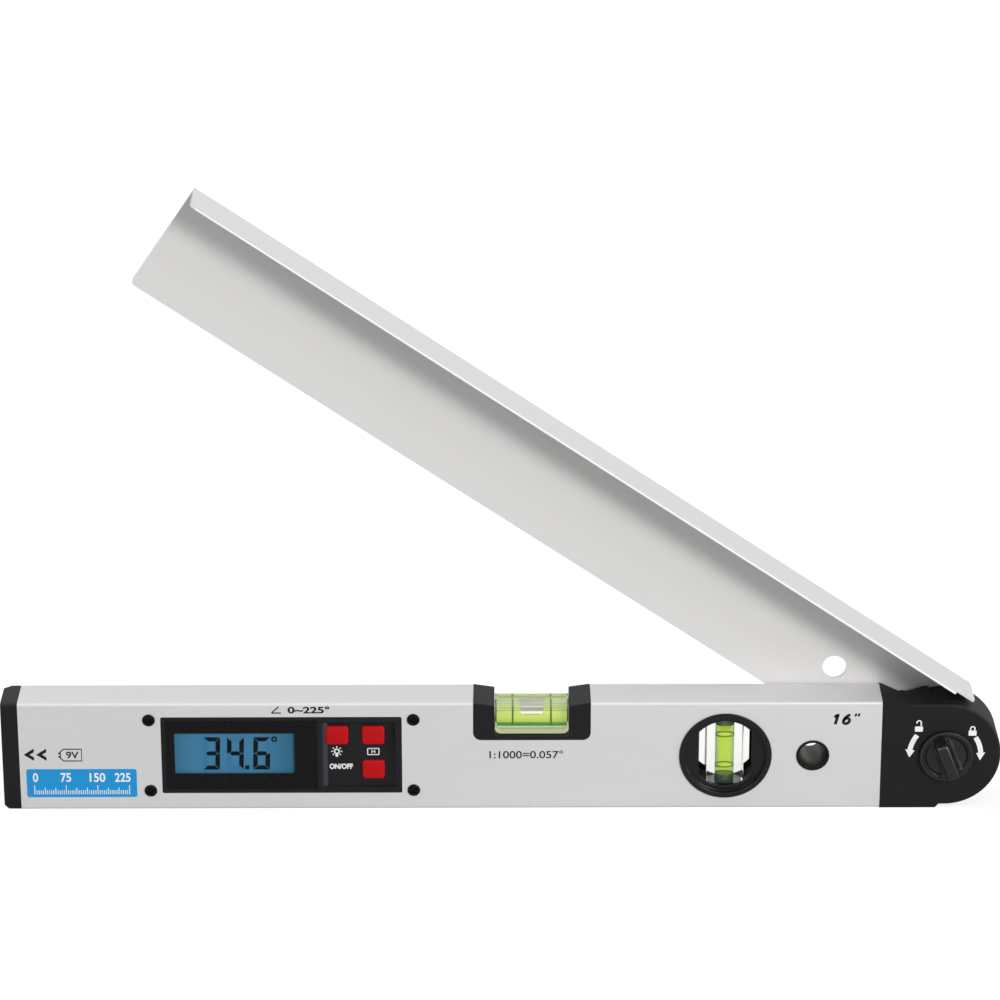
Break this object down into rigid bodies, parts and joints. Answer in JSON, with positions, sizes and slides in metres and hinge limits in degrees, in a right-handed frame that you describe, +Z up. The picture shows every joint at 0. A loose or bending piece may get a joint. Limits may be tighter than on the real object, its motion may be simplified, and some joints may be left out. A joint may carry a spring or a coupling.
{
  "type": "digital angle finder",
  "caption": "Box-section rule body with a digital display, level and plumb vials, a hanging hole, and an L-section arm on a lockable hinge that opens to measure an angle.",
  "frame": {"origin": "middle of the long bottom face that the body stands on, at mid-depth, 212 mm from the left end of the extrusion", "axes": "+X along the body towards the hinge, +Y from the display face to the back, +Z up from the bottom face"},
  "size_m": [0.4404, 0.0336, 0.2808],
  "materials": {
    "anodised_body": "satin anodised, drawn along the length",
    "anodised_arm": "satin anodised, drawn along the length",
    "black_moulding": "fine textured moulding",
    "black_gloss": "polished moulding",
    "red_key": "semi-gloss moulding",
    "display_glass": "clear window",
    "liquid_crystal": "blue backlit panel",
    "light_guide": "white light guide",
    "circuit_board": "green solder mask",
    "chip_body": "moulded package",
    "clear_acrylic": "clear moulded acrylic",
    "vial_liquid": "yellow-green liquid",
    "vial_mark": "printed ring",
    "steel_screw": "blackened steel",
    "steel_shaft": "turned steel",
    "brass_insert": "turned brass",
    "copper_contact": "plated contact",
    "battery_jacket": "lacquered jacket",
    "lead_sleeve": "flexible sleeve",
    "washer_fibre": "acetal",
    "grey_moulding": "moulded bush"
  },
  "bodies": {
    "body": {"body_extrusion": "anodised_body", "battery_9v": "battery_jacket", "battery_terminals": "copper_contact", "battery_snap": "black_gloss", "battery_leads": "lead_sleeve", "display_bezel": "black_moulding", "display_lens": "display_glass", "lcd_panel": "liquid_crystal", "lcd_backlight": "light_guide", "main_board": "circuit_board", "board_components": "chip_body", "board_screws": "steel_screw", "switch_domes": "copper_contact", "display_screws": "steel_screw", "level_vial_holder": "black_moulding", "level_vial_block": "clear_acrylic", "level_vial_liquid": "vial_liquid", "level_vial_marks": "vial_mark", "level_vial_plugs": "clear_acrylic", "plumb_ring_front": "black_moulding", "plumb_ring_rear": "black_moulding", "plumb_vial_block": "clear_acrylic", "plumb_vial_liquid": "vial_liquid", "plumb_vial_marks": "vial_mark", "plumb_vial_plugs": "clear_acrylic", "hanging_bush": "grey_moulding", "hinge_housing": "black_moulding", "housing_screws": "steel_screw", "pivot_bush": "brass_insert", "sensor_stator": "circuit_board"},
    "arm": {"arm_blade": "anodised_arm", "hinge_hub": "black_moulding", "hub_screws": "steel_screw", "sensor_rotor": "circuit_board", "friction_washer": "washer_fibre", "pivot_shaft": "steel_shaft"},
    "knob": {"lock_knob": "black_gloss", "knob_insert": "brass_insert"},
    "end_cap": {"end_cap": "black_moulding"},
    "button_light": {"button_light": "red_key"},
    "button_hold": {"button_hold": "red_key"},
    "button_power": {"button_power": "red_key"}
  },
  "joints": [
    {"name": "arm_hinge", "type": "hinge", "parent": "body", "child": "arm", "pos_m": [0.1968, 0, 0.0256], "axis": [0, 1, 0], "range_deg": [-34.3, 190.7]},
    {"name": "knob_turn", "type": "hinge", "parent": "arm", "child": "knob", "pos_m": [0.1968, 0, 0.0256], "axis": [0, 1, 0], "range_deg": [-90, 0]},
    {"name": "end_cap_slide", "type": "slide", "parent": "body", "child": "end_cap", "axis": [-1, 0, 0], "range_m": [0, 0.012]},
    {"name": "light_press", "type": "slide", "parent": "body", "child": "button_light", "axis": [0, 1, 0], "range_m": [0, 0.0005], "stiffness_N_per_m": 600, "springref_m": -0.0002},
    {"name": "hold_press", "type": "slide", "parent": "body", "child": "button_hold", "axis": [0, 1, 0], "range_m": [0, 0.0005], "stiffness_N_per_m": 600, "springref_m": -0.0002},
    {"name": "power_press", "type": "slide", "parent": "body", "child": "button_power", "axis": [0, 1, 0], "range_m": [0, 0.0005], "stiffness_N_per_m": 600, "springref_m": -0.0002}
  ]
}
